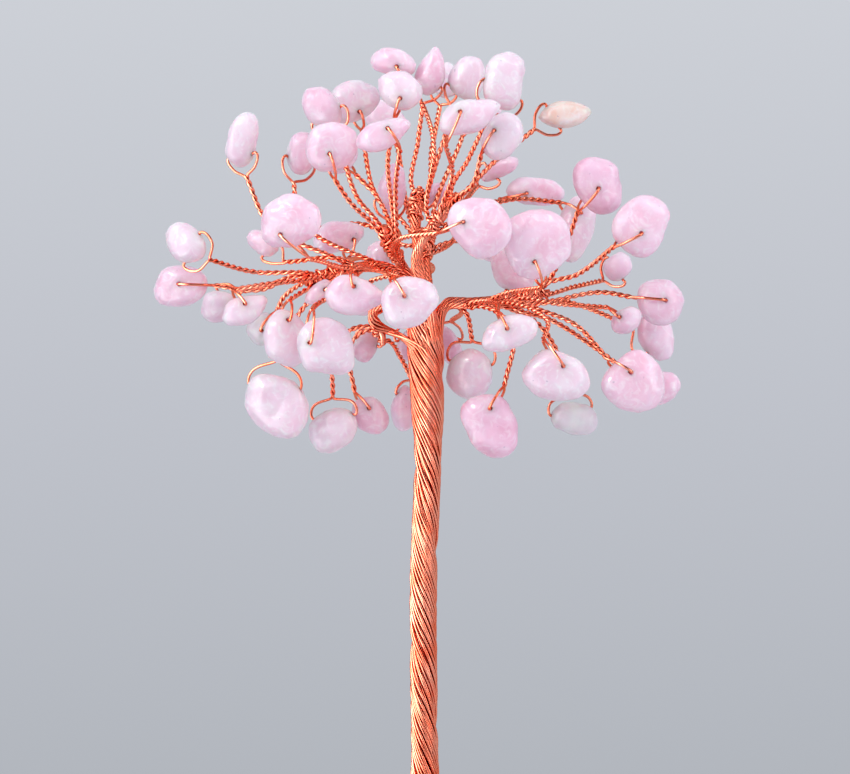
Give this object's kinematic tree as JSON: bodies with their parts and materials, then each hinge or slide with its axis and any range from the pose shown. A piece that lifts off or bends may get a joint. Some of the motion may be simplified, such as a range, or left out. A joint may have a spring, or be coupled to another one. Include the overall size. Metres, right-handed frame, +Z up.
{
  "type": "gemstone tree ornament",
  "caption": "Free-standing wire tree: a laid copper wire trunk parts into limbs and twisted twigs, each twig's eye holding a drilled rose quartz chip.",
  "frame": {"origin": "centre of the slab's underside, the face the tree stands on", "axes": "+Z up the trunk, the longest way; -Y is the front that the picture shows; +X to the picture's right"},
  "size_m": [0.1004, 0.0684, 0.1656],
  "materials": {
    "rose_quartz": "tumbled and polished, milky translucent pink",
    "copper_wire": "bright bare copper wire",
    "agate": "banded slice, polished top and underside, natural rind"
  },
  "bodies": {
    "tree": {"back_fixed_chips": "rose_quartz", "back_limb": "copper_wire", "back_twigs": "copper_wire", "base_slab": "agate", "centre_fixed_chips": "rose_quartz", "centre_limb": "copper_wire", "centre_twigs": "copper_wire", "left_fixed_chips": "rose_quartz", "left_limb": "copper_wire", "left_twigs": "copper_wire", "lower_left_fixed_chips": "rose_quartz", "lower_left_limb": "copper_wire", "lower_left_twigs": "copper_wire", "right_fixed_chips": "rose_quartz", "right_limb": "copper_wire", "right_twigs": "copper_wire", "root_wires": "copper_wire", "trunk": "copper_wire", "upper_left_fixed_chips": "rose_quartz", "upper_left_limb": "copper_wire", "upper_left_twigs": "copper_wire", "upper_right_fixed_chips": "rose_quartz", "upper_right_limb": "copper_wire", "upper_right_twigs": "copper_wire"},
    "centre_chip_4": {"centre_chip_4": "rose_quartz"},
    "left_chip_10": {"left_chip_10": "rose_quartz"},
    "left_chip_15": {"left_chip_15": "rose_quartz"},
    "left_chip_16": {"left_chip_16": "rose_quartz"},
    "left_chip_5": {"left_chip_5": "rose_quartz"},
    "left_chip_6": {"left_chip_6": "rose_quartz"},
    "left_chip_9": {"left_chip_9": "rose_quartz"},
    "lower_left_chip_2": {"lower_left_chip_2": "rose_quartz"},
    "right_chip_16": {"right_chip_16": "rose_quartz"},
    "right_chip_2": {"right_chip_2": "rose_quartz"},
    "right_chip_4": {"right_chip_4": "rose_quartz"},
    "right_chip_6": {"right_chip_6": "rose_quartz"},
    "right_chip_7": {"right_chip_7": "rose_quartz"},
    "right_chip_9": {"right_chip_9": "rose_quartz"},
    "upper_left_chip_1": {"upper_left_chip_1": "rose_quartz"},
    "upper_left_chip_7": {"upper_left_chip_7": "rose_quartz"},
    "upper_left_chip_8": {"upper_left_chip_8": "rose_quartz"},
    "upper_right_chip_4": {"upper_right_chip_4": "rose_quartz"},
    "upper_right_chip_6": {"upper_right_chip_6": "rose_quartz"},
    "upper_right_chip_8": {"upper_right_chip_8": "rose_quartz"}
  },
  "joints": [
    {"name": "left_chip_5_swing", "type": "hinge", "parent": "tree", "child": "left_chip_5", "pos_m": [-0.02659, -0.01765, 0.12947], "axis": [-0.1736, -0.9848, 0], "range_deg": [-20, 20]},
    {"name": "left_chip_6_swing", "type": "hinge", "parent": "tree", "child": "left_chip_6", "pos_m": [-0.02201, -0.01851, 0.10928], "axis": [0.2079, -0.9781, 0], "range_deg": [-15, 15]},
    {"name": "left_chip_9_swing", "type": "hinge", "parent": "tree", "child": "left_chip_9", "pos_m": [-0.0347, -0.00288, 0.14457], "axis": [0.9472, -0.2538, 0.1961], "range_deg": [-25, 25]},
    {"name": "left_chip_10_swing", "type": "hinge", "parent": "tree", "child": "left_chip_10", "pos_m": [-0.02722, -0.00446, 0.10079], "axis": [-0.9448, 0.307, 0.1146], "range_deg": [-15, 15]},
    {"name": "left_chip_15_swing", "type": "hinge", "parent": "tree", "child": "left_chip_15", "pos_m": [-0.04368, -0.00942, 0.12702], "axis": [0.4546, -0.1837, 0.8716], "range_deg": [-25, 25]},
    {"name": "left_chip_16_swing", "type": "hinge", "parent": "tree", "child": "left_chip_16", "pos_m": [-0.0455, -0.00315, 0.12042], "axis": [-0.309, -0.9511, 0], "range_deg": [-20, 20]},
    {"name": "upper_left_chip_1_swing", "type": "hinge", "parent": "tree", "child": "upper_left_chip_1", "pos_m": [0.00759, -0.02482, 0.13174], "axis": [-0.1736, -0.9848, 0], "range_deg": [-20, 20]},
    {"name": "upper_left_chip_7_swing", "type": "hinge", "parent": "tree", "child": "upper_left_chip_7", "pos_m": [-0.01834, 0.00417, 0.15249], "axis": [0.8343, -0.2236, 0.5039], "range_deg": [-25, 25]},
    {"name": "upper_left_chip_8_swing", "type": "hinge", "parent": "tree", "child": "upper_left_chip_8", "pos_m": [-0.01847, -0.00908, 0.14475], "axis": [0.2079, -0.9781, 0], "range_deg": [-20, 20]},
    {"name": "centre_chip_4_swing", "type": "hinge", "parent": "tree", "child": "centre_chip_4", "pos_m": [0.00076, 0.00598, 0.15815], "axis": [0.9725, -0.0851, -0.2169], "range_deg": [-25, 25]},
    {"name": "upper_right_chip_4_swing", "type": "hinge", "parent": "tree", "child": "upper_right_chip_4", "pos_m": [0.00625, -0.01816, 0.15249], "axis": [0.1392, -0.9903, 0], "range_deg": [-20, 20]},
    {"name": "upper_right_chip_6_swing", "type": "hinge", "parent": "tree", "child": "upper_right_chip_6", "pos_m": [0.02365, -0.00059, 0.15268], "axis": [0.5101, 0.1084, -0.8533], "range_deg": [-25, 25]},
    {"name": "upper_right_chip_8_swing", "type": "hinge", "parent": "tree", "child": "upper_right_chip_8", "pos_m": [0.01455, -0.00431, 0.15702], "axis": [0.8316, 0.2228, -0.5087], "range_deg": [-25, 25]},
    {"name": "right_chip_2_swing", "type": "hinge", "parent": "tree", "child": "right_chip_2", "pos_m": [0.00886, 0.00292, 0.1057], "axis": [-0.9848, 0.1384, 0.1047], "range_deg": [-25, 25]},
    {"name": "right_chip_4_swing", "type": "hinge", "parent": "tree", "child": "right_chip_4", "pos_m": [0.01263, -0.012, 0.09702], "axis": [-0.1736, -0.9848, 0], "range_deg": [-20, 20]},
    {"name": "right_chip_6_swing", "type": "hinge", "parent": "tree", "child": "right_chip_6", "pos_m": [0.02002, -0.01804, 0.12438], "axis": [0.1736, -0.9848, 0], "range_deg": [-20, 20]},
    {"name": "right_chip_7_swing", "type": "hinge", "parent": "tree", "child": "right_chip_7", "pos_m": [0.02546, -0.01477, 0.10494], "axis": [0.1392, -0.9903, 0], "range_deg": [-20, 20]},
    {"name": "right_chip_9_swing", "type": "hinge", "parent": "tree", "child": "right_chip_9", "pos_m": [0.03766, -0.00957, 0.10381], "axis": [0.342, -0.9397, 0], "range_deg": [-20, 20]},
    {"name": "right_chip_16_swing", "type": "hinge", "parent": "tree", "child": "right_chip_16", "pos_m": [0.03191, -0.00372, 0.13834], "axis": [0.2588, -0.9659, 0], "range_deg": [-20, 20]},
    {"name": "lower_left_chip_2_swing", "type": "hinge", "parent": "tree", "child": "lower_left_chip_2", "pos_m": [-0.01662, 0.00106, 0.09551], "axis": [-0.9788, 0.1726, -0.1104], "range_deg": [-20, 20]}
  ]
}
